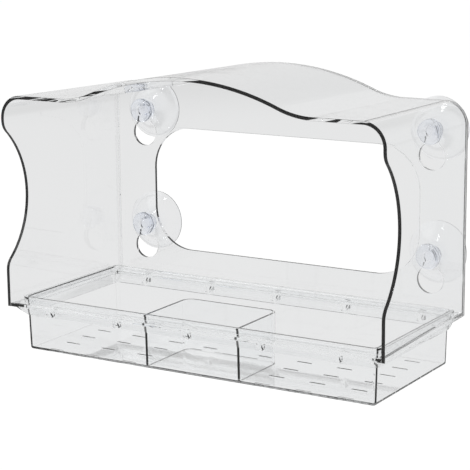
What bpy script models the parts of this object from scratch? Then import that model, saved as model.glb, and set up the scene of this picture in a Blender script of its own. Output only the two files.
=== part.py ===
"""A clear window bird feeder: a moulded hood with a wavy roof, a back panel with a viewing
opening and four keyholes, a base frame, a lift-out seed tray and four suction cups.
The origin is on the window glass, midway between the four cups. +Z is up and +Y points into the
window, so a bird lands from -Y."""

import math

import bmesh
import bpy
from mathutils import Vector

# Sheet and clearances of the whole feeder
SHEET = 0.003
GAP = 0.0003
OVERRUN = 0.004

# Hood, seen from the front
FRONT_WIDTH = 0.365
BACK_WIDTH = 0.354
EAVE_HEIGHT = 0.185
ROOF_FALL = 0.003
SHOULDER_RADIUS = 0.020
CREST_RISE = 0.0237
CREST_RADIUS = 0.236
WAVE_HALF_SPAN = 0.120

# Hood, seen from the side
HOOD_DEPTH = 0.1626
SCOOP_DEPTH = 0.0285
SCOOP_FOOT = 0.0324
SCOOP_EAVE_MARGIN = 0.0224
SCOOP_BLEND_RADIUS = 0.013

# Opening in the back panel
VIEW_SIDE_MARGIN = 0.044
VIEW_BOTTOM = 0.028
VIEW_EAVE_MARGIN = 0.044
VIEW_CORNER_RADIUS = 0.038

# Suction cups and the keyholes that hold them
CUP_SIDE_MARGIN = 0.033
CUP_EAVE_MARGIN = 0.0296
CUP_FOOT_MARGIN = 0.0492
CUP_STANDOFF = 0.0154
CUP_RADIUS = 0.0275
CUP_LIP_WIDTH = 0.0025
CUP_LIP_THICKNESS = 0.0009
CUP_HOLLOW_DEPTH = 0.0085
CUP_HUB_RADIUS = 0.0080
CUP_HUB_LENGTH = 0.0028
NECK_RADIUS = 0.0046
HEAD_RADIUS = 0.0110
HEAD_THICKNESS = 0.0082
HEAD_EDGE_RADIUS = 0.0035
KEYHOLE_DROP = 0.0211
KEYHOLE_RADIUS = 0.0120
KEYHOLE_BLEND_RADIUS = 0.008
KEYHOLE_CLEARANCE = 0.0005

# Base frame
COLLAR_FOOT_THICKNESS = 0.0008
COLLAR_INSET = 0.0015
COLLAR_DROP = 0.008
COLLAR_CLEARANCE = 0.0006
LUG_COUNT = 5
LUG_SIDE_MARGIN = 0.037
LUG_WIDTH = 0.0046
LUG_DROP = 0.006
LUG_SETBACK = 0.002

# Seed tray
TRAY_FRONT_SETBACK = 0.011
TRAY_BACK_MARGIN = 0.0166
TRAY_SIDE_MARGIN = 0.0079
TRAY_DROP = 0.0397
TRAY_RISE = 0.008
TRAY_DRAFT = 0.0012
TRAY_WALL = 0.0022
TRAY_CORNER_RADIUS = 0.003
TRAY_INNER_RADIUS = 0.001
TRAY_EDGE_RADIUS = 0.0015
RIM_WIDTH = 0.0030
RIM_THICKNESS = 0.0018
RIM_LIP_THICKNESS = 0.0015
DIVIDER_SPACING = 0.090
DIVIDER_STEP = 0.001
BAY_DEPTH = 0.065
BAY_CORNER_RADIUS = 0.0085

# Drain slots in the tray floor
SLOT_LENGTH = 0.0145
SLOT_WIDTH = 0.0018
SLOT_FIRST_X = 0.0276
SLOT_FIRST_Y = 0.0045
SLOT_SIDE_MARGIN = 0.0275
SLOT_BACK_MARGIN = 0.013
SLOT_COLUMNS = 4
SLOT_ROWS = 6

# Fineness of curves
ARC_STEP = math.radians(9)
CREST_STEP = math.radians(3)
TURN_SEGMENTS = 36
BOW_SEGMENTS = 6

# Look of the clear plastics
SHEET_COLOUR = (0.93, 0.94, 0.95)
SHEET_ROUGHNESS = 0.04
CUP_COLOUR = (0.86, 0.90, 0.95)
CUP_ROUGHNESS = 0.12

# Sizes worked out from those above
FRONT_HALF = FRONT_WIDTH / 2
BACK_HALF = BACK_WIDTH / 2
DIP_RADIUS = (WAVE_HALF_SPAN**2 + CREST_RISE**2) / (2 * CREST_RISE) - CREST_RADIUS
SCOOP_HEIGHT = (SCOOP_FOOT + EAVE_HEIGHT - SCOOP_EAVE_MARGIN) / 2
SCOOP_REACH = SCOOP_HEIGHT - SCOOP_FOOT
SCOOP_RADIUS = (SCOOP_REACH**2 / SCOOP_DEPTH + SCOOP_DEPTH) / 2 - SCOOP_BLEND_RADIUS
PANEL_FRONT = HOOD_DEPTH - SHEET
VIEW_HALF_WIDTH = BACK_HALF - VIEW_SIDE_MARGIN
VIEW_TOP = EAVE_HEIGHT - VIEW_EAVE_MARGIN
CUP_SIDE = BACK_HALF - CUP_SIDE_MARGIN
CUP_RISE = (EAVE_HEIGHT - CUP_EAVE_MARGIN - CUP_FOOT_MARGIN) / 2
CUP_MID_HEIGHT = CUP_FOOT_MARGIN + CUP_RISE
HOUSE_ORIGIN = Vector((0, -(HOOD_DEPTH + CUP_STANDOFF), -CUP_MID_HEIGHT))
SLOT_HALF_WIDTH = NECK_RADIUS + KEYHOLE_CLEARANCE
LUG_PITCH = 2 * (BACK_HALF - LUG_SIDE_MARGIN) / (LUG_COUNT - 1)
TRAY_HALF_WIDTH = BACK_HALF - TRAY_SIDE_MARGIN
TRAY_DEPTH = HOOD_DEPTH - TRAY_FRONT_SETBACK - TRAY_BACK_MARGIN
TRAY_FLOOR_TOP = -TRAY_DROP + TRAY_WALL
LIP_FOOT = SHEET + GAP
TRAY_HEIGHT = TRAY_DROP + TRAY_RISE
DIVIDER_TOP = TRAY_RISE - DIVIDER_STEP
SLOT_PITCH_X = (TRAY_HALF_WIDTH - SLOT_SIDE_MARGIN - SLOT_FIRST_X) / (SLOT_COLUMNS - 1)
SLOT_PITCH_Y = (TRAY_DEPTH - SLOT_FIRST_Y - SLOT_BACK_MARGIN) / (SLOT_ROWS - 1)


def clear_scene():
    for obj in list(bpy.data.objects):
        bpy.data.objects.remove(obj, do_unlink=True)


def clear_plastic(name, colour, roughness):
    material = bpy.data.materials.new(name)
    material.use_nodes = True
    shader = material.node_tree.nodes["Principled BSDF"]
    shader.inputs["Base Color"].default_value = (*colour, 1)
    shader.inputs["Roughness"].default_value = roughness
    shader.inputs["Metallic"].default_value = 0
    shader.inputs["Transmission Weight"].default_value = 1
    return material


def add_object(name, bm, parent, material=None):
    """The mesh as an object under its parent, with its faces turned outwards."""
    bmesh.ops.recalc_face_normals(bm, faces=bm.faces)
    mesh = bpy.data.meshes.new(name)
    bm.to_mesh(mesh)
    bm.free()
    obj = bpy.data.objects.new(name, mesh)
    obj.parent = parent
    bpy.context.scene.collection.objects.link(obj)
    if material:
        mesh.materials.append(material)
    return obj


def combine(target, name, bm, operation):
    """Cuts the mesh from the target or joins it on, through a hidden helper object."""
    helper = add_object(name, bm, target.parent)
    helper.hide_render = True
    helper.display_type = "WIRE"
    boolean = target.modifiers.new(name, "BOOLEAN")
    boolean.operation = operation
    boolean.object = helper


def shade_by_angle(obj, angle):
    obj.data.shade_smooth()
    obj.data.set_sharp_from_angle(angle=angle)


def arc(centre, radius, start, end, step=ARC_STEP):
    """Points round a circle from the start angle to the end angle, both included."""
    count = math.ceil(abs(end - start) / step)
    angles = [start + (end - start) * i / count for i in range(count + 1)]
    return [(centre[0] + radius * math.cos(a), centre[1] + radius * math.sin(a)) for a in angles]


def bowed(start, end, sag):
    """Points of a shallow curve from start to end that bows to its left by the sag."""
    along = Vector(end) - Vector(start)
    left = Vector((-along.y, along.x)).normalized()
    middle = Vector(start) + along / 2 + left * sag * 2
    shares = [i / BOW_SEGMENTS for i in range(BOW_SEGMENTS + 1)]
    return [
        tuple(Vector(start) * (1 - s) ** 2 + middle * 2 * s * (1 - s) + Vector(end) * s**2)
        for s in shares
    ]


def mirrored(half):
    """A half outline that ends on the centre line, carried on to the other side."""
    return half + [(-x, z) for x, z in reversed(half[:-1])]


def rounded_rectangle(half_width, front, back, radius):
    """Points round a rectangle in plan that is centred on the Y axis."""
    corners = [
        ((half_width - radius, front + radius), -math.pi / 2),
        ((half_width - radius, back - radius), 0),
        ((-half_width + radius, back - radius), math.pi / 2),
        ((-half_width + radius, front + radius), math.pi),
    ]
    points = []
    for centre, start in corners:
        points += arc(centre, radius, start, start + math.pi / 2, 2 * ARC_STEP)
    return points


def on_plan(u, v, t):
    return Vector((u, v, t))


def on_front(u, v, t):
    return Vector((u, t, v))


def on_side(u, v, t):
    return Vector((t, u, v))


def add_prism(bm, outline, place, low, high):
    """Adds an outline drawn in one plane and drawn out square to it from low to high."""
    near = [bm.verts.new(place(u, v, low)) for u, v in outline]
    far = [bm.verts.new(place(u, v, high)) for u, v in outline]
    bm.faces.new(near)
    bm.faces.new(far)
    add_band(bm, near, far, closed=True)


def add_band(bm, first, second, closed):
    """Joins two rows of as many points with a row of four-sided faces."""
    for i in range(len(first) - (not closed)):
        j = (i + 1) % len(first)
        bm.faces.new((first[i], first[j], second[j], second[i]))


def prism(outline, place, low, high):
    bm = bmesh.new()
    add_prism(bm, outline, place, low, high)
    return bm


def hood_section(half_width, fall, inset):
    """The hood's section from the front: two sides, round shoulders, two dips and the crest."""
    eave = EAVE_HEIGHT - fall
    shoulder = (half_width - SHOULDER_RADIUS, eave - SHOULDER_RADIUS)
    dip = (WAVE_HALF_SPAN, eave + DIP_RADIUS)
    crest = (0, eave + CREST_RISE - CREST_RADIUS)
    lean = math.atan2(dip[0], dip[1] - crest[1])
    half = [(half_width - inset, 0)]
    half += arc(shoulder, SHOULDER_RADIUS - inset, 0, math.pi / 2)
    half += arc(dip, DIP_RADIUS + inset, -math.pi / 2, -math.pi / 2 - lean, CREST_STEP)
    half += arc(crest, CREST_RADIUS - inset, math.pi / 2 - lean, math.pi / 2, CREST_STEP)[1:]
    return mirrored(half)


def scoop_outline():
    """What the scoop takes from the front edges of the sides, as depth and height."""
    centre_depth = SCOOP_DEPTH - SCOOP_RADIUS
    turn = math.atan2(SCOOP_REACH, SCOOP_BLEND_RADIUS - centre_depth)
    low = (SCOOP_BLEND_RADIUS, SCOOP_HEIGHT - SCOOP_REACH)
    high = (SCOOP_BLEND_RADIUS, SCOOP_HEIGHT + SCOOP_REACH)
    outline = arc(low, SCOOP_BLEND_RADIUS, math.pi, math.pi - turn)
    outline += arc((centre_depth, SCOOP_HEIGHT), SCOOP_RADIUS, -turn, turn, CREST_STEP)[1:-1]
    outline += arc(high, SCOOP_BLEND_RADIUS, math.pi + turn, math.pi)
    return outline + [(-OVERRUN, high[1]), (-OVERRUN, low[1])]


def make_hood(parent, material):
    """A thin shell that narrows and falls a little towards the back, as it leaves its mould."""
    bm = bmesh.new()
    rows = []
    for half_width, fall, depth in ((FRONT_HALF, 0, 0), (BACK_HALF, ROOF_FALL, HOOD_DEPTH)):
        for inset in (0, SHEET):
            section = hood_section(half_width, fall, inset)
            rows.append([bm.verts.new((x, depth, z)) for x, z in section])
    front_outer, front_inner, back_outer, back_inner = rows
    add_band(bm, front_outer, back_outer, closed=False)
    add_band(bm, front_inner, back_inner, closed=False)
    add_band(bm, front_outer, front_inner, closed=False)
    add_band(bm, back_outer, back_inner, closed=False)
    for foot in (0, -1):
        bm.faces.new([row[foot] for row in (front_outer, front_inner, back_inner, back_outer)])
    hood = add_object("hood", bm, parent, material)
    reach = FRONT_HALF + OVERRUN
    combine(hood, "hood_scoop", prism(scoop_outline(), on_side, -reach, reach), "DIFFERENCE")
    shade_by_angle(hood, 2 * ARC_STEP)


def keyhole_outline(x, z):
    """A round hole under a slot, with the waist between them blended as the moulding has it."""
    apart = KEYHOLE_RADIUS + KEYHOLE_BLEND_RADIUS
    side = SLOT_HALF_WIDTH + KEYHOLE_BLEND_RADIUS
    rise = math.sqrt(apart**2 - side**2)
    lean = math.atan2(rise, side)
    hole_z = z - KEYHOLE_DROP
    half = arc((0, hole_z), KEYHOLE_RADIUS, -math.pi / 2, lean)
    half += arc((side, hole_z + rise), KEYHOLE_BLEND_RADIUS, math.pi + lean, math.pi)[1:]
    half += arc((0, z), SLOT_HALF_WIDTH, 0, math.pi / 2)
    outline = half + [(-u, v) for u, v in reversed(half[1:-1])]
    return [(x + u, v) for u, v in outline]


def cup_places():
    """Each suction cup's name and the place of its axis on the panel."""
    for level, height in (("upper", CUP_RISE), ("lower", -CUP_RISE)):
        for side, x in (("left", -CUP_SIDE), ("right", CUP_SIDE)):
            yield f"suction_cup_{level}_{side}", x, height


def make_back_panel(parent, material):
    """A flat sheet that fits inside the hood, cut for the view and for the four cups."""
    outline = hood_section(BACK_HALF, ROOF_FALL, SHEET + GAP)
    panel = add_object(
        "back_panel", prism(outline, on_front, PANEL_FRONT, HOOD_DEPTH), parent, material
    )
    cuts = bmesh.new()
    view = rounded_rectangle(VIEW_HALF_WIDTH, VIEW_BOTTOM, VIEW_TOP, VIEW_CORNER_RADIUS)
    outlines = [view]
    for _, x, height in cup_places():
        outlines.append(keyhole_outline(x, CUP_MID_HEIGHT + height))
    for cut in outlines:
        add_prism(cuts, cut, on_front, PANEL_FRONT - OVERRUN, HOOD_DEPTH + OVERRUN)
    combine(panel, "panel_openings", cuts, "DIFFERENCE")
    shade_by_angle(panel, 2 * ARC_STEP)


def tray_outline(grow):
    """The tray's outline in plan at its foot, grown by some amount all round."""
    return rounded_rectangle(
        TRAY_HALF_WIDTH + grow,
        TRAY_FRONT_SETBACK - grow,
        TRAY_FRONT_SETBACK + TRAY_DEPTH + grow,
        max(TRAY_CORNER_RADIUS + grow, TRAY_INNER_RADIUS),
    )


def tray_draft(z):
    """How far the tray's walls have leaned out at a height."""
    return TRAY_DRAFT * (z + TRAY_DROP) / TRAY_HEIGHT


def ledge_half(y):
    """Half the width of the ledge, which narrows towards the back just inside the hood."""
    return FRONT_HALF + (BACK_HALF - FRONT_HALF) * y / HOOD_DEPTH - SHEET - GAP


def collar_mesh(grow, back):
    """A solid whose sides flare from a narrow foot under the tray opening out to the ledge."""
    bm = bmesh.new()
    foot = tray_outline(grow)
    ends = (COLLAR_INSET, back - COLLAR_INSET)
    straight = rounded_rectangle(TRAY_HALF_WIDTH, *ends, TRAY_CORNER_RADIUS)
    top = [(x * (ledge_half(y) - COLLAR_INSET) / TRAY_HALF_WIDTH, y) for x, y in straight]
    rows = []
    for outline, z in ((foot, -COLLAR_DROP), (top, 0), (top, SHEET / 2)):
        rows.append([bm.verts.new((x, y, z)) for x, y in outline])
    for lower, upper in zip(rows, rows[1:]):
        add_band(bm, lower, upper, closed=True)
    bm.faces.new(rows[0])
    bm.faces.new(rows[-1])
    return bm


def make_base_frame(parent, material):
    """A ledge round the tray opening, a flared collar under it, and a row of lugs on two rails."""
    back = PANEL_FRONT - GAP
    plan = [
        (-ledge_half(0), 0),
        (ledge_half(0), 0),
        (ledge_half(back), back),
        (-ledge_half(back), back),
    ]
    frame = add_object("base_frame", prism(plan, on_plan, 0, SHEET), parent, material)
    opening = tray_draft(LIP_FOOT) + COLLAR_CLEARANCE
    foot = opening + COLLAR_FOOT_THICKNESS
    combine(frame, "collar", collar_mesh(foot, back), "UNION")
    through = prism(tray_outline(opening), on_plan, -COLLAR_DROP - OVERRUN, SHEET + OVERRUN)
    combine(frame, "tray_opening", through, "DIFFERENCE")
    lugs = bmesh.new()
    front_rail = (LUG_SETBACK, TRAY_FRONT_SETBACK - foot)
    back_rail = (TRAY_FRONT_SETBACK + TRAY_DEPTH + foot, back - LUG_SETBACK)
    for sides in (front_rail, back_rail):
        for i in range(LUG_COUNT):
            x = (i - (LUG_COUNT - 1) / 2) * LUG_PITCH
            ends = (x - LUG_WIDTH / 2, x + LUG_WIDTH / 2)
            plan = [(ends[a], sides[b]) for a, b in ((0, 0), (1, 0), (1, 1), (0, 1))]
            add_prism(lugs, plan, on_plan, -LUG_DROP, SHEET / 2)
    combine(frame, "lugs", lugs, "UNION")
    shade_by_angle(frame, 2 * ARC_STEP)


def tray_profile():
    """The tray's wall in section, from its foot up the outside, round the rim and down inside."""
    rim_inside = TRAY_RISE - RIM_THICKNESS
    lip = TRAY_DRAFT + RIM_WIDTH
    centre = (-TRAY_EDGE_RADIUS, -TRAY_DROP + TRAY_EDGE_RADIUS)
    profile = arc(centre, TRAY_EDGE_RADIUS, -math.pi / 2, 0, 3 * ARC_STEP)
    profile += [
        (tray_draft(rim_inside), rim_inside),
        (lip - RIM_LIP_THICKNESS, rim_inside),
        (lip - RIM_LIP_THICKNESS, LIP_FOOT),
        (lip, LIP_FOOT),
        (lip, TRAY_RISE),
        (TRAY_DRAFT - TRAY_WALL, TRAY_RISE),
    ]
    inner = (-TRAY_WALL - TRAY_EDGE_RADIUS, TRAY_FLOOR_TOP + TRAY_EDGE_RADIUS)
    return profile + arc(inner, TRAY_EDGE_RADIUS, 0, -math.pi / 2, 3 * ARC_STEP)


def bay_wall():
    """The wall round the middle bay in plan: out from the front wall, round the back, and in."""
    start = TRAY_FRONT_SETBACK + (TRAY_WALL - TRAY_DRAFT) / 2
    back = TRAY_FRONT_SETBACK + BAY_DEPTH
    outline = []
    for offset in (TRAY_WALL / 2, -TRAY_WALL / 2):
        half_width = DIVIDER_SPACING / 2 + offset
        radius = BAY_CORNER_RADIUS + offset
        centre = (half_width - radius, back + offset - radius)
        half = [(half_width, start)] + arc(centre, radius, 0, math.pi / 2, 2 * ARC_STEP)
        side = half + [(-x, y) for x, y in reversed(half)]
        outline += side if offset > 0 else reversed(side)
    return outline


def slot_outline(x, y):
    """A drain slot with round ends, drawn in plan."""
    radius = SLOT_WIDTH / 2
    reach = SLOT_LENGTH / 2 - radius
    right = arc((x + reach, y), radius, -math.pi / 2, math.pi / 2, 5 * ARC_STEP)
    left = arc((x - reach, y), radius, math.pi / 2, 3 * math.pi / 2, 5 * ARC_STEP)
    return right + left


def make_seed_tray(parent, material):
    """A drafted box hung by its rim on the ledge, with one walled bay and rows of drain slots."""
    bm = bmesh.new()
    rows = []
    for grow, z in tray_profile():
        rows.append([bm.verts.new((x, y, z)) for x, y in tray_outline(grow)])
    for lower, upper in zip(rows, rows[1:]):
        add_band(bm, lower, upper, closed=True)
    bm.faces.new(rows[0])
    bm.faces.new(rows[-1])
    tray = add_object("seed_tray", bm, parent, material)
    wall = prism(bay_wall(), on_plan, TRAY_FLOOR_TOP - TRAY_WALL / 2, DIVIDER_TOP)
    combine(tray, "bay_wall", wall, "UNION")
    slots = bmesh.new()
    for row in range(SLOT_ROWS):
        y = TRAY_FRONT_SETBACK + SLOT_FIRST_Y + row * SLOT_PITCH_Y
        for column in range(SLOT_COLUMNS):
            x = SLOT_FIRST_X + column * SLOT_PITCH_X
            in_bay = x < DIVIDER_SPACING / 2 and y < TRAY_FRONT_SETBACK + BAY_DEPTH
            if in_bay:
                continue
            for centre in (x, -x):
                low = -TRAY_DROP - OVERRUN
                high = TRAY_FLOOR_TOP + OVERRUN
                add_prism(slots, slot_outline(centre, y), on_plan, low, high)
    combine(tray, "drain_slots", slots, "DIFFERENCE")
    shade_by_angle(tray, 3 * ARC_STEP)


def cup_profile():
    """A suction cup in section, as radius and distance from the glass, lip to head to hollow."""
    hub_back = CUP_STANDOFF - GAP
    head_back = CUP_STANDOFF + SHEET + GAP
    head_front = head_back + HEAD_THICKNESS
    hub_edge = (CUP_HUB_RADIUS, hub_back - CUP_HUB_LENGTH)
    hollow_radius = CUP_RADIUS - CUP_LIP_WIDTH
    edge_radius = HEAD_RADIUS - HEAD_EDGE_RADIUS
    profile = [(CUP_RADIUS, 0)]
    profile += bowed((CUP_RADIUS, CUP_LIP_THICKNESS), hub_edge, CUP_LIP_THICKNESS)
    profile += [(CUP_HUB_RADIUS, hub_back), (NECK_RADIUS, hub_back), (NECK_RADIUS, head_back)]
    back_edge = (edge_radius, head_back + HEAD_EDGE_RADIUS)
    front_edge = (edge_radius, head_front - HEAD_EDGE_RADIUS)
    profile += arc(back_edge, HEAD_EDGE_RADIUS, -math.pi / 2, 0, 2 * ARC_STEP)
    profile += arc(front_edge, HEAD_EDGE_RADIUS, 0, math.pi / 2, 2 * ARC_STEP)
    profile.append((0, head_front))
    shares = [i / BOW_SEGMENTS for i in range(BOW_SEGMENTS + 1)]
    return profile + [(hollow_radius * s, CUP_HOLLOW_DEPTH * (1 - s**2)) for s in shares]


def make_suction_cup(name, x, height, material):
    """A soft cup turned about the line that runs from the glass out through the keyhole."""
    bm = bmesh.new()
    rows = []
    for radius, distance in cup_profile():
        if radius == 0:
            rows.append([bm.verts.new((0, -distance, 0))])
            continue
        ring = []
        for i in range(TURN_SEGMENTS):
            angle = 2 * math.pi * i / TURN_SEGMENTS
            place = (radius * math.cos(angle), -distance, radius * math.sin(angle))
            ring.append(bm.verts.new(place))
        rows.append(ring)
    for first, second in zip(rows, rows[1:] + rows[:1]):
        if len(first) == len(second) == 1:
            continue
        if len(first) == 1 or len(second) == 1:
            tip, ring = (first, second) if len(first) == 1 else (second, first)
            for i in range(TURN_SEGMENTS):
                bm.faces.new((tip[0], ring[i], ring[(i + 1) % TURN_SEGMENTS]))
            continue
        add_band(bm, first, second, closed=True)
    cup = add_object(name, bm, None, material)
    cup.location = (x, 0, height)
    shade_by_angle(cup, 3 * ARC_STEP)


def main():
    clear_scene()
    house = bpy.data.objects.new("house", None)
    bpy.context.scene.collection.objects.link(house)
    house.location = HOUSE_ORIGIN
    make_hood(house, clear_plastic("hood", SHEET_COLOUR, SHEET_ROUGHNESS))
    make_back_panel(house, clear_plastic("back_panel", SHEET_COLOUR, SHEET_ROUGHNESS))
    make_base_frame(house, clear_plastic("base_frame", SHEET_COLOUR, SHEET_ROUGHNESS))
    tray_seat = bpy.data.objects.new("tray_seat", None)
    bpy.context.scene.collection.objects.link(tray_seat)
    tray_seat.location = HOUSE_ORIGIN
    make_seed_tray(tray_seat, clear_plastic("seed_tray", SHEET_COLOUR, SHEET_ROUGHNESS))
    for name, x, height in cup_places():
        make_suction_cup(name, x, height, clear_plastic(name, CUP_COLOUR, CUP_ROUGHNESS))


main()
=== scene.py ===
"""A clear window bird feeder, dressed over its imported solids: sheets with rounded cut edges, a
moulded tray and soft suction cups, in clear plastics under plain studio light."""

import math

import bmesh
import bpy
from mathutils import Matrix, Vector


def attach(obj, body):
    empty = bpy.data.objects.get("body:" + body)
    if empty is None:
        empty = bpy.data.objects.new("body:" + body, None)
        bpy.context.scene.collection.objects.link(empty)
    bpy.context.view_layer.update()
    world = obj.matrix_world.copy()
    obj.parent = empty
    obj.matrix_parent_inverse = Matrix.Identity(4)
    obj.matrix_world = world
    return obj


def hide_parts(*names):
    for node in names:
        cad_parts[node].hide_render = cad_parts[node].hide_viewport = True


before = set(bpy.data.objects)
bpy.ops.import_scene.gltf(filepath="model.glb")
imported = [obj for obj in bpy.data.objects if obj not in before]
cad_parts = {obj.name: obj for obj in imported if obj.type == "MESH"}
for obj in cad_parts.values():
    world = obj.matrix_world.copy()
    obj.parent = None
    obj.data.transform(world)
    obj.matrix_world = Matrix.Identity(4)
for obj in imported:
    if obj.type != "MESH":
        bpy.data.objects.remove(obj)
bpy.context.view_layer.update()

# Lengths are in metres, and those of the solids are repeated here. The hood, panel, tray and
# frame are drawn with x across, y back from the roof's front edge and z up from the hood's foot,
# and ORIGIN carries them into the frame, whose origin is on the pane, midway between the cups.
# GAP is the space between two solids, and EDGE is the radius of a cut edge.
ORIGIN = Vector((0, -0.178, -0.1023))
SHEET = 0.003
GAP = 0.0003
EDGE = 0.00022
QUARTER = math.pi / 2

# Meshing: what counts as one point, what counts as flat, and how far a cutter passes a face
WELD = 1e-6
FLAT = math.radians(0.2)
OVERCUT = 0.004

# Hood: its half widths and fall from front to back, and its roof of shoulders, dips and a crest
FRONT_HALF = 0.1825
BACK_HALF = 0.177
DEPTH = 0.1626
EAVE = 0.185
FALL = 0.003
SHOULDER = 0.020
WAVE = 0.120
CREST_RISE = 0.0237
CREST_RADIUS = 0.236
DIP_RADIUS = (WAVE**2 + CREST_RISE**2) / (2 * CREST_RISE) - CREST_RADIUS
SIDE_STEPS = 56
FOOT_SHARES = (0, 0.3, 1)
EDGE_STEPS = 3

# Scoops in the hood's front edges: one large arc between two small ones
SCOOP_RADIUS = 0.0756
SCOOP_DEPTH = 0.0285
SCOOP_HEIGHT = 0.0975
SCOOP_BLEND = 0.013

# Back panel: its viewing opening, and the keyholes with the cups at the tops of their slots
VIEW_HALF = 0.133
VIEW_FOOT = 0.028
VIEW_TOP = 0.141
VIEW_CORNER = 0.038
CUP_X = 0.144
CUP_Z = 0.0531
KEY_RADIUS = 0.012
KEY_BLEND = 0.008
KEY_DROP = 0.0211
KEY_SLOT_HALF = 0.0051

# Tray: a drafted box that hangs by its rim, from TRAY_DROP under the ledge to TRAY_RISE above
SETBACK = 0.011
TRAY_DEPTH = 0.1350
TRAY_HALF = 0.1691
TRAY_DROP = 0.0397
TRAY_RISE = 0.008
DRAFT = 0.0012
WALL = 0.0022
FLOOR = -TRAY_DROP + WALL
CORNER = 0.003
LEAST_CORNER = 0.001
RIM = 0.0030
RIM_THICK = 0.0018
RIM_EDGE = EDGE * 1.5
LIP = 0.0015
TOP_ROUND = 0.0019
FOOT_ROUND = 0.0028
FLOOR_ROUND = 0.0010

# The bay at the tray's front, and the drain slots in rows from the front, either side of x = 0
BAY_HALF = 0.045
BAY_DEPTH = 0.065
BAY_BACK = SETBACK + BAY_DEPTH
BAY_CORNER = 0.0085
BAY_DROP = 0.001
SLOT_ROWS = 6
SLOT_ROW_START = 0.0045
SLOT_ROW_PITCH = 0.0235
SLOT_COLUMNS = 4
SLOT_START = 0.0276
SLOT_PITCH = 0.038
SLOT_REACH = 0.00635
SLOT_RADIUS = 0.0009

# Base frame: the ledge, the collar under it with the hollow behind it, and the lugs
LEDGE_BACK = DEPTH - SHEET - GAP
LEDGE_EDGE = 0.0003
TRAY_PLAY = 0.0006
COLLAR_WALL = 0.0008
COLLAR_DROP = 0.008
COLLAR_INSET = 0.0015
HOLLOW_INSET = 0.0041
HOLLOW_OVERLAP = 0.0002
HOLLOW_CEILING = 0.0005
HOLLOW_FOOT = -0.0078
HOLLOW_BOTTOM = -0.0095
LUG_COUNT = 5
LUG_PITCH = 0.070
LUG_HALF = 0.0023
LUG_DROP = 0.006
LUG_INSET = 0.002

# Suction cup, as radii from its axis and distances from the glass or back from the head's face
STANDOFF = 0.0154
CUP_TURNS = 72
CURVE_STEPS = 16
DISC_RADIUS = 0.0275
DISC_RIM = 0.0008
DISC_CHAMFER = 0.0001
DISC_FLARE = 0.0018
HUB_RADIUS = 0.0080
HUB_DEPTH = 0.0028
HUB_ROUND = 0.0005
NECK_RADIUS = 0.0046
HEAD_THICK = 0.0082
HEAD_FLAT = 0.0075
HEAD_ROUND = 0.0035
DIMPLE_RIM = 0.0052
DIMPLE_RIM_ROUND = 0.0008
DIMPLE_FLOOR = 0.0029
DIMPLE_FLOOR_ROUND = 0.0015
DIMPLE_WALL = 0.0014
DIMPLE_DEPTH = 0.0031
BOWL_RADIUS = 0.0250
BOWL_DEPTH = 0.0085


def arc(centre, radius, start, end, step=4):
    """Points from one angle to another, at most step degrees apart."""
    count = max(1, math.ceil(abs(end - start) / math.radians(step)))
    angles = [start + (end - start) * i / count for i in range(count + 1)]
    return [(centre[0] + radius * math.cos(a), centre[1] + radius * math.sin(a)) for a in angles]


def mirrored(points):
    """The points on the other side of the middle, in reverse."""
    return [(-u, v) for u, v in reversed(points)]


def rounded(half_width, low, high, radius, step=9):
    """A rectangle with round corners, centred across."""
    side = half_width - radius
    centres = ((side, low + radius), (side, high - radius))
    points = []
    for i, centre in enumerate(centres + tuple(mirrored(centres))):
        start = (i - 1) * QUARTER
        points += arc(centre, radius, start, start + QUARTER, step)
    return points


def level(outline, z):
    """An outline drawn from above, laid at a height."""
    return [(x, y, z) for x, y in outline]


def band(bm, first, second, closed=True):
    """Faces between two rows of as many vertices."""
    for i in range(len(first) - (not closed)):
        j = (i + 1) % len(first)
        bm.faces.new((first[i], first[j], second[j], second[i]))


def loft(rows, bm=None):
    """A closed body through rows of points, in a bmesh that may hold others."""
    if bm is None:
        bm = bmesh.new()
    rings = [[bm.verts.new(point) for point in row] for row in rows]
    for lower, upper in zip(rings, rings[1:]):
        band(bm, lower, upper)
    bm.faces.new(rings[0])
    bm.faces.new(rings[-1])
    return bm


def prism(outline, low, high, bm=None):
    """An outline drawn straight up from low to high."""
    return loft([level(outline, low), level(outline, high)], bm)


def linked(name, data):
    """A new object in the scene."""
    obj = bpy.data.objects.new(name, data)
    bpy.context.scene.collection.objects.link(obj)
    return obj


def settled(name, bm):
    """The bmesh as a mesh."""
    mesh = bpy.data.meshes.new(name)
    bm.to_mesh(mesh)
    bm.free()
    return mesh


def evaluated(obj, tools=()):
    """What an object's curve or modifiers give, as a welded bmesh. The objects are removed."""
    bpy.context.view_layer.update()
    graph = bpy.context.evaluated_depsgraph_get()
    bm = bmesh.new()
    bm.from_mesh(obj.evaluated_get(graph).to_mesh())
    for used in (obj, *tools):
        bpy.data.objects.remove(used, do_unlink=True)
    bmesh.ops.remove_doubles(bm, verts=bm.verts, dist=WELD)
    return bm


def combined(base, others):
    """The base after each (operation, bmesh) in turn, as one new bmesh."""
    objects = []
    for name, bm in [("base", base), *others]:
        bmesh.ops.recalc_face_normals(bm, faces=bm.faces)
        objects.append(linked(name, settled(name, bm)))
    target, *tools = objects
    for (operation, _), tool in zip(others, tools):
        boolean = target.modifiers.new(operation, "BOOLEAN")
        boolean.operation = operation
        boolean.solver = "EXACT"
        boolean.object = tool
    result = evaluated(target, tools)
    bmesh.ops.dissolve_limit(
        result, angle_limit=FLAT, verts=result.verts, edges=result.edges
    )
    return result


# Where a plate's drawing goes: its third number is the height, or the distance back
def lying(u, v, t):
    return u, v, t


def upright(u, v, t):
    return u, t, v


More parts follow.
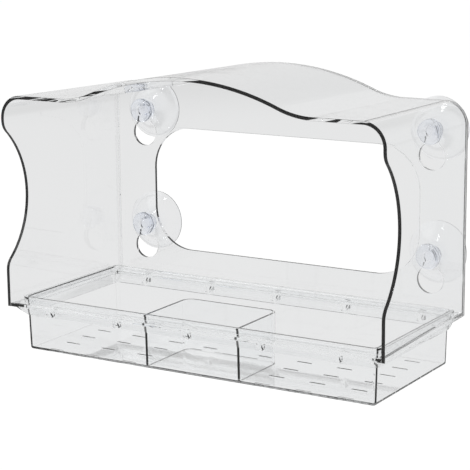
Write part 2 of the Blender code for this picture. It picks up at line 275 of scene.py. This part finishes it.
def plate(outlines, low, high, place, edge=EDGE):
    """A flat sheet with rounded cut edges: the first outline is its rim, the rest its holes."""
    curve = bpy.data.curves.new("plate", "CURVE")
    curve.dimensions = "2D"
    curve.fill_mode = "BOTH"
    curve.extrude = (high - low) / 2 - edge
    curve.bevel_depth = edge
    curve.bevel_resolution = 2
    curve.offset = -edge
    for outline in outlines:
        spline = curve.splines.new("POLY")
        spline.points.add(len(outline) - 1)
        for point, (u, v) in zip(spline.points, outline):
            point.co = (u, v, 0, 1)
        spline.use_cyclic_u = True
    bm = evaluated(linked("plate", curve))
    middle = (low + high) / 2
    for vert in bm.verts:
        vert.co = place(vert.co.x, vert.co.y, middle + vert.co.z)
    return bm


def piece(name, bm, body, node, material, place=ORIGIN, angle=30):
    """The bmesh as a piece that rides on a body and stands for a CAD node."""
    bmesh.ops.recalc_face_normals(bm, faces=bm.faces)
    if bm.calc_volume(signed=True) < 0:
        bmesh.ops.reverse_faces(bm, faces=bm.faces)
    mesh = settled(name, bm)
    mesh.transform(Matrix.Translation(place))
    mesh.shade_smooth()
    mesh.set_sharp_from_angle(angle=math.radians(angle))
    mesh.materials.append(material)
    obj = linked(name, mesh)
    normals = obj.modifiers.new("even_normals", "WEIGHTED_NORMAL")
    normals.keep_sharp = True
    normals.weight = 80
    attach(obj, body)
    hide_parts(node)


def section(half_width, fall, inset):
    """The hood from the front, from its right foot over the crest to its left foot."""
    eave = EAVE - fall
    side = half_width - inset
    shoulder = (half_width - SHOULDER, eave - SHOULDER)
    dip = (WAVE, eave + DIP_RADIUS)
    crest = (0, eave + CREST_RISE - CREST_RADIUS)
    lean = math.atan2(dip[0], dip[1] - crest[1])
    half = [(side, EDGE * share) for share in FOOT_SHARES]
    half += [(side, shoulder[1] * i / SIDE_STEPS) for i in range(1, SIDE_STEPS)]
    half += arc(shoulder, SHOULDER - inset, 0, QUARTER, 5)
    half += arc(dip, DIP_RADIUS + inset, -QUARTER, -QUARTER - lean, 1.5)
    half += arc(crest, CREST_RADIUS - inset, QUARTER - lean, QUARTER, 1)[1:]
    return half + mirrored(half[:-1])


def scoop(z):
    """How far the scoop sets the front edge of a side back at a height."""
    centre = SCOOP_DEPTH - SCOOP_RADIUS
    total = SCOOP_RADIUS + SCOOP_BLEND
    reach = math.sqrt(total**2 - (SCOOP_BLEND - centre) ** 2)
    away = abs(z - SCOOP_HEIGHT)
    if away >= reach:
        return 0.0
    if away > reach * SCOOP_RADIUS / total:
        return SCOOP_BLEND - math.sqrt(SCOOP_BLEND**2 - (reach - away) ** 2)
    return centre + math.sqrt(SCOOP_RADIUS**2 - away**2)


def hood():
    """The hood as a loft of cuts through its sheet, one at each point of the section."""
    sections = {
        (end, inset): section(half_width, fall, inset)
        for end, half_width, fall in (("front", FRONT_HALF, 0), ("back", BACK_HALF, FALL))
        for inset in (0, SHEET)
    }
    turns = [QUARTER * i / EDGE_STEPS for i in range(EDGE_STEPS + 1)]
    cuts = []
    for i in range(len(sections["front", 0])):
        at = {key: Vector(points[i]) for key, points in sections.items()}
        outer = at["front", 0]
        start = scoop(outer.y) if abs(outer.x) > FRONT_HALF - WELD else 0.0
        cut = []
        for inset, y in ((0, DEPTH), (SHEET, DEPTH), (SHEET, start), (0, start)):
            inward = -EDGE if inset else EDGE
            along = -EDGE if y == DEPTH else EDGE
            order = turns if bool(inset) != (y == DEPTH) else turns[::-1]
            for a in order:
                share = (inset + inward * (1 - math.cos(a))) / SHEET
                depth = y + along * (1 - math.sin(a))
                near = at["front", 0].lerp(at["front", SHEET], share)
                far = at["back", 0].lerp(at["back", SHEET], share)
                spot = near.lerp(far, depth / DEPTH)
                cut.append((spot.x, depth, spot.y))
        cuts.append(cut)
    return loft(cuts)


def keyhole(x, z):
    """A keyhole for a cup at x, z: its round, a blended waist and the slot's round top."""
    apart = KEY_RADIUS + KEY_BLEND
    side = KEY_SLOT_HALF + KEY_BLEND
    rise = math.sqrt(apart**2 - side**2)
    lean = math.atan2(rise, side)
    centre = z - KEY_DROP
    half = arc((0, centre), KEY_RADIUS, -QUARTER, lean)
    half += arc((side, centre + rise), KEY_BLEND, 2 * QUARTER + lean, 2 * QUARTER)[1:]
    half += arc((0, z), KEY_SLOT_HALF, 0, QUARTER, 9)
    return [(x + u, v) for u, v in half + mirrored(half[1:-1])]


def back_panel():
    """A sheet that fills the hood's back, with the viewing opening and the keyholes."""
    shoulder = EAVE - FALL - SHOULDER - WELD
    inside = section(BACK_HALF, FALL, SHEET + GAP)
    outlines = [[(x, z) for x, z in inside if z == 0 or z > shoulder]]
    outlines.append(rounded(VIEW_HALF, VIEW_FOOT, VIEW_TOP, VIEW_CORNER, 4))
    for x in (-CUP_X, CUP_X):
        for z in (-CUP_Z, CUP_Z):
            outlines.append(keyhole(x, z - ORIGIN.z))
    return plate(outlines, DEPTH - SHEET, DEPTH, upright)


def draft(z):
    """How far the tray's wall stands out at a height."""
    return DRAFT * (z + TRAY_DROP) / (TRAY_DROP + TRAY_RISE)


def tray_outline(grow):
    """The tray's foot from above, grown on every side."""
    radius = max(CORNER + grow, LEAST_CORNER)
    return rounded(TRAY_HALF + grow, SETBACK - grow, SETBACK + TRAY_DEPTH + grow, radius)


def tray_profile():
    """The tray's wall as (grown, height) pairs: up its outside, over the rim and down inside."""
    under = TRAY_RISE - RIM_THICK
    out = draft(under)
    lip = DRAFT + RIM
    lip_foot = SHEET + GAP
    inside = DRAFT - WALL + TOP_ROUND
    return [
        *arc((-FOOT_ROUND, -TRAY_DROP + FOOT_ROUND), FOOT_ROUND, -QUARTER, 0, 10),
        (out, under - EDGE),
        *arc((out + EDGE, under - EDGE), EDGE, 2 * QUARTER, QUARTER, 30)[1:],
        (lip - LIP, under),
        (lip - LIP, lip_foot),
        *arc((lip - EDGE, lip_foot + EDGE), EDGE, -QUARTER, 0, 30),
        *arc((lip - RIM_EDGE, TRAY_RISE - RIM_EDGE), RIM_EDGE, 0, QUARTER, 22.5),
        *arc((inside, TRAY_RISE - TOP_ROUND), TOP_ROUND, QUARTER, 2 * QUARTER, 15),
        *arc((-WALL - FLOOR_ROUND, FLOOR + FLOOR_ROUND), FLOOR_ROUND, 0, -QUARTER, 15),
    ]


def bay_wall():
    """The bay's wall, from the middle of the tray's front wall round and back to it."""
    start = SETBACK + (WALL - DRAFT) / 2
    outline = []
    for offset in (WALL / 2, -WALL / 2):
        half_width = BAY_HALF + offset
        radius = BAY_CORNER + offset
        centre = (half_width - radius, BAY_BACK + offset - radius)
        half = [(half_width, start), *arc(centre, radius, 0, QUARTER, 9)]
        face = half + mirrored(half)
        outline += face if offset > 0 else face[::-1]
    return plate([outline], FLOOR - WALL / 2, TRAY_RISE - BAY_DROP, lying)


def drain_slots():
    """Cutters for the slots in the tray's floor, with none inside the bay."""
    bm = bmesh.new()
    for row in range(SLOT_ROWS):
        y = SETBACK + SLOT_ROW_START + row * SLOT_ROW_PITCH
        for column in range(SLOT_COLUMNS):
            x = SLOT_START + column * SLOT_PITCH
            if x < BAY_HALF and y < BAY_BACK:
                continue
            for middle in (x, -x):
                right = arc((middle + SLOT_REACH, y), SLOT_RADIUS, -QUARTER, QUARTER, 22.5)
                left = arc((middle - SLOT_REACH, y), SLOT_RADIUS, QUARTER, 3 * QUARTER, 22.5)
                prism(right + left, -TRAY_DROP - OVERCUT, FLOOR + OVERCUT, bm)
    return bm


def tray():
    """The tray's box with the bay's wall, and its drain slots cut out."""
    box = loft([level(tray_outline(grow), z) for grow, z in tray_profile()])
    return combined(box, [("UNION", bay_wall()), ("DIFFERENCE", drain_slots())])


def ledge_half(y):
    """Half the ledge's width at a depth, inside the hood's sides."""
    return FRONT_HALF + (BACK_HALF - FRONT_HALF) * y / DEPTH - SHEET - GAP


def ledge_outline(inset):
    """The ledge from above with round corners, inset on every side."""
    straight = rounded(TRAY_HALF, inset, LEDGE_BACK - inset, CORNER)
    return [(x * (ledge_half(y) - inset) / TRAY_HALF, y) for x, y in straight]


def lugs(foot):
    """Short ribs under the ledge's two long sides, from near its rim to the collar's foot."""
    bm = bmesh.new()
    back_foot = SETBACK + TRAY_DEPTH + foot
    for near, far in ((LUG_INSET, SETBACK - foot), (back_foot, LEDGE_BACK - LUG_INSET)):
        for i in range(LUG_COUNT):
            x = (i - LUG_COUNT // 2) * LUG_PITCH
            left, right = x - LUG_HALF, x + LUG_HALF
            outline = [(left, near), (right, near), (right, far), (left, far)]
            prism(outline, -LUG_DROP, SHEET / 2, bm)
    return bm


def base_frame():
    """The ledge round the tray's opening, with a flared hollow collar and lugs under it."""
    front, back = ledge_half(0), ledge_half(LEDGE_BACK)
    rim = [(-front, 0), (front, 0), (back, LEDGE_BACK), (-back, LEDGE_BACK)]
    ledge = plate([rim], 0, SHEET, lying, LEDGE_EDGE)
    opening = draft(SHEET + GAP) + TRAY_PLAY
    foot = opening + COLLAR_WALL
    top = ledge_outline(COLLAR_INSET)
    bottom = tray_outline(opening - HOLLOW_OVERLAP)
    ceiling = ledge_outline(HOLLOW_INSET)
    collar = loft(
        [level(tray_outline(foot), -COLLAR_DROP), level(top, 0), level(top, SHEET / 2)]
    )
    hollow = loft(
        [
            level(bottom, HOLLOW_BOTTOM),
            level(bottom, HOLLOW_FOOT),
            level(ceiling, HOLLOW_CEILING),
        ]
    )
    collar = combined(collar, [("DIFFERENCE", hollow)])
    through = prism(tray_outline(opening), -COLLAR_DROP - OVERCUT, SHEET + OVERCUT)
    return combined(
        ledge, [("UNION", collar), ("DIFFERENCE", through), ("UNION", lugs(foot))]
    )


def cup_profile():
    """A cup as (radius, distance from the glass) pairs: rim, disc, hub, neck, head, hollow."""
    hub_back = STANDOFF - GAP
    head_back = STANDOFF + SHEET + GAP
    head = head_back + HEAD_THICK
    inner_rim = DISC_RADIUS - DISC_CHAMFER
    start = Vector((inner_rim, DISC_RIM + DISC_CHAMFER))
    end = Vector((HUB_RADIUS, hub_back - HUB_DEPTH))
    along = end - start
    middle = start + along / 2 + Vector((-along.y, along.x)).normalized() * DISC_FLARE
    shares = [i / CURVE_STEPS for i in range(CURVE_STEPS + 1)]
    flare = [start * (1 - s) ** 2 + middle * 2 * s * (1 - s) + end * s**2 for s in shares]
    return [
        (DISC_RADIUS, DISC_CHAMFER),
        (DISC_RADIUS, DISC_RIM),
        *[(at.x, at.y) for at in flare],
        *arc((HUB_RADIUS - HUB_ROUND, hub_back - HUB_ROUND), HUB_ROUND, 0, QUARTER, 30),
        (NECK_RADIUS, hub_back),
        (NECK_RADIUS, head_back),
        *arc((HEAD_FLAT, head_back + HEAD_ROUND), HEAD_ROUND, -QUARTER, 0, 9),
        *arc((HEAD_FLAT, head - HEAD_ROUND), HEAD_ROUND, 0, QUARTER, 9),
        *arc((DIMPLE_RIM, head - DIMPLE_RIM_ROUND), DIMPLE_RIM_ROUND, QUARTER, 2 * QUARTER, 30),
        *arc((DIMPLE_FLOOR, head - DIMPLE_WALL), DIMPLE_FLOOR_ROUND, 0, -QUARTER, 22.5),
        (0, head - DIMPLE_DEPTH),
        *[(BOWL_RADIUS * s, BOWL_DEPTH * (1 - s**2)) for s in shares],
        (inner_rim, 0.0),
    ]


def cup():
    """A soft cup, turned about the line out from the glass. A radius of 0 is a single point."""
    bm = bmesh.new()
    turns = [2 * math.pi * i / CUP_TURNS for i in range(CUP_TURNS)]
    rows = []
    for radius, distance in cup_profile():
        angles = turns if radius else [0]
        spots = [(radius * math.cos(a), -distance, radius * math.sin(a)) for a in angles]
        rows.append([bm.verts.new(spot) for spot in spots])
    for first, second in zip(rows, rows[1:] + rows[:1]):
        tip, ring = sorted((first, second), key=len)
        if len(tip) == len(ring) == CUP_TURNS:
            band(bm, first, second)
        elif len(ring) == CUP_TURNS:
            for i in range(CUP_TURNS):
                bm.faces.new((tip[0], ring[i], ring[(i + 1) % CUP_TURNS]))
    return bm


# Plastics: each noise as its scale and detail, and what it does
SMUDGES = (38, 4)
SMUDGE_RANGE = {"From Min": 0.35, "From Max": 0.75}
CLOUDS = (9, 2)
CLOUD_LIFT = 1.03
RIPPLES = (26, 1)
RIPPLE_HEIGHT = 0.001
ABSORBED = (0.45, 0.55, 0.78, 1)
NEAR_CLEAR = (0.965, 0.97, 0.975)
SOFT_CLEAR = (0.985, 0.99, 0.995)


def add_node(tree, kind, values=None):
    """A new node with the given values on its sockets."""
    node = tree.nodes.new(kind)
    for socket, value in (values or {}).items():
        node.inputs[socket].default_value = value
    return node


def noise(tree, coords, scale, detail):
    """The output of a noise over the object."""
    node = add_node(tree, "ShaderNodeTexNoise", {"Scale": scale, "Detail": detail})
    tree.links.new(coords.outputs["Object"], node.inputs["Vector"])
    return node.outputs["Fac"]


def clear_plastic(name, colour, roughness, wave, ior, density=0):
    """Clear plastic with faint smudges in its gloss, slow ripples and, given a density, a little
    absorption.
    """
    material = bpy.data.materials.new(name)
    material.use_nodes = True
    tree = material.node_tree
    links = tree.links
    shader = tree.nodes["Principled BSDF"]
    shader.inputs["Transmission Weight"].default_value = 1
    shader.inputs["IOR"].default_value = ior
    coords = tree.nodes.new("ShaderNodeTexCoord")

    gloss = add_node(tree, "ShaderNodeMapRange", SMUDGE_RANGE)
    gloss.inputs["To Min"].default_value, gloss.inputs["To Max"].default_value = roughness
    links.new(noise(tree, coords, *SMUDGES), gloss.inputs["Value"])
    links.new(gloss.outputs["Result"], shader.inputs["Roughness"])

    tint = tree.nodes.new("ShaderNodeMix")
    tint.data_type = "RGBA"
    factor, first, second = (tint.inputs[i] for i in (0, 6, 7))  # 6 and 7 are its two colours
    first.default_value = (*colour, 1)
    second.default_value = (*[min(1, c * CLOUD_LIFT) for c in colour], 1)
    links.new(noise(tree, coords, *CLOUDS), factor)
    links.new(tint.outputs[2], shader.inputs["Base Color"])

    bump = add_node(tree, "ShaderNodeBump", {"Strength": wave, "Distance": RIPPLE_HEIGHT})
    links.new(noise(tree, coords, *RIPPLES), bump.inputs["Height"])
    links.new(bump.outputs["Normal"], shader.inputs["Normal"])

    if density:
        absorbed = {"Color": ABSORBED, "Density": density}
        absorption = add_node(tree, "ShaderNodeVolumeAbsorption", absorbed)
        links.new(absorption.outputs["Volume"], tree.nodes["Material Output"].inputs["Volume"])
    return material


acrylic = clear_plastic("clear_acrylic", NEAR_CLEAR, (0.0, 0.005), wave=0.02, ior=1.49)
moulded = clear_plastic("clear_moulded", NEAR_CLEAR, (0.0, 0.006), wave=0.006, ior=1.49)
soft = clear_plastic("clear_soft", SOFT_CLEAR, (0.03, 0.07), wave=0.006, ior=1.46, density=14)

piece("hood_shell", hood(), "house", "hood", acrylic)
piece("view_panel", back_panel(), "house", "back_panel", acrylic)
piece("ledge_frame", base_frame(), "house", "base_frame", moulded)
piece("feed_tray", tray(), "tray", "seed_tray", moulded)
for height, z in (("upper", CUP_Z), ("lower", -CUP_Z)):
    for side, x in (("left", -CUP_X), ("right", CUP_X)):
        node = f"suction_cup_{height}_{side}"
        piece(f"cup_{height}_{side}", cup(), node, node, soft, Vector((x, 0, z)), 40)


# Studio: white all round and a pale floor far below, both darker to all but the camera's rays
WHITE = (1, 1, 1, 1)
FLOOR_GREY = (0.35, 0.35, 0.35, 1)
FLOOR_HEIGHT = -0.62
FLOOR_HALF = 14.0
FLOOR_STEPS = 24
FADE_START = 4.6
FADE_END = 6.4
FADE_LEVEL = 0.83
LAMP_TARGET = Vector((0, -0.1, 0))


def ray_levels(tree, seen, through_plastic, other, shade=None):
    """A strength by the kind of ray: seen directly, through plastic or in its gloss, or other."""
    path = tree.nodes.new("ShaderNodeLightPath")
    value = None
    for output, strength in (
        ("Is Glossy Ray", through_plastic),
        ("Is Transmission Ray", through_plastic),
        ("Is Camera Ray", seen),
    ):
        mix = add_node(tree, "ShaderNodeMix", {2: other, 3: strength})  # its two numbers
        tree.links.new(path.outputs[output], mix.inputs[0])
        if value is not None:
            tree.links.new(value, mix.inputs[2])
        if shade and output != "Is Camera Ray":
            scaled = add_node(tree, "ShaderNodeMath", {1: strength})
            scaled.operation = "MULTIPLY"
            tree.links.new(shade, scaled.inputs[0])
            tree.links.new(scaled.outputs[0], mix.inputs[3])
        value = mix.outputs[0]
    return value


def pale_floor():
    """Matt paint that glows, and through plastic a little less where it lies far away."""
    paint = bpy.data.materials.new("pale_floor")
    paint.use_nodes = True
    tree = paint.node_tree
    shader = tree.nodes["Principled BSDF"]
    shader.inputs["Base Color"].default_value = FLOOR_GREY
    shader.inputs["Roughness"].default_value = 0.9
    shader.inputs["Specular IOR Level"].default_value = 0
    shader.inputs["Emission Color"].default_value = WHITE
    spot = tree.nodes.new("ShaderNodeNewGeometry")
    reach = tree.nodes.new("ShaderNodeVectorMath")
    reach.operation = "LENGTH"
    tree.links.new(spot.outputs["Position"], reach.inputs[0])
    span = {"From Min": FADE_START, "From Max": FADE_END, "To Min": 1, "To Max": FADE_LEVEL}
    fade = add_node(tree, "ShaderNodeMapRange", span)
    fade.interpolation_type = "SMOOTHSTEP"
    tree.links.new(reach.outputs["Value"], fade.inputs["Value"])
    shade = fade.outputs["Result"]
    emission = ray_levels(tree, seen=0.75, through_plastic=0.54, other=0.3, shade=shade)
    tree.links.new(emission, shader.inputs["Emission Strength"])
    return paint


def lamp(name, place, size, watts):
    """A round lamp that faces the feeder."""
    light = bpy.data.lights.new(name, "AREA")
    light.shape = "DISK"
    light.size = size
    light.energy = watts
    obj = linked(name, light)
    obj.location = place
    obj.rotation_euler = (LAMP_TARGET - Vector(place)).to_track_quat("-Z", "Y").to_euler()


world = bpy.data.worlds.new("studio")
bpy.context.scene.world = world
world.use_nodes = True
background = world.node_tree.nodes["Background"]
background.inputs["Color"].default_value = WHITE
strength = ray_levels(world.node_tree, seen=1.0, through_plastic=0.82, other=0.75)
world.node_tree.links.new(strength, background.inputs["Strength"])

bm = bmesh.new()
marks = [FLOOR_HALF * (2 * i / FLOOR_STEPS - 1) for i in range(FLOOR_STEPS + 1)]
grid = [[bm.verts.new((x, y, FLOOR_HEIGHT)) for x in marks] for y in marks]
for first, second in zip(grid, grid[1:]):
    band(bm, first, second, closed=False)
bmesh.ops.recalc_face_normals(bm, faces=bm.faces)
floor = linked("floor", settled("floor", bm))
floor.data.materials.append(pale_floor())

lamp("key", (-0.32, -1.35, 1.62), size=0.40, watts=7)
lamp("fill", (-1.4, -1.3, 1.0), size=1.4, watts=4.5)

# Camera: the photo's, fitted to the corners and edges that it shows
YAW, PITCH, ROLL = (math.radians(angle) for angle in (31.352, 11.910, -0.516))
CAMERA_PLACE = (0.7239, -1.2841, 0.2576)
LENS = 128.15
SENSOR = 36

ahead = Vector(
    (-math.sin(YAW) * math.cos(PITCH), math.cos(YAW) * math.cos(PITCH), -math.sin(PITCH))
)
level_right = Vector((math.cos(YAW), math.sin(YAW), 0))
level_up = level_right.cross(ahead)
right = level_right * math.cos(ROLL) + level_up * math.sin(ROLL)
up = level_up * math.cos(ROLL) - level_right * math.sin(ROLL)
lens = bpy.data.cameras.new("camera")
lens.sensor_width = SENSOR
lens.lens = LENS
lens.clip_start = 0.05
lens.clip_end = 60
camera = linked("camera", lens)
turn = Matrix((right, up, -ahead)).transposed()
camera.matrix_world = Matrix.Translation(CAMERA_PLACE) @ turn.to_4x4()
bpy.context.scene.camera = camera
bpy.context.scene.view_settings.view_transform = "Standard"
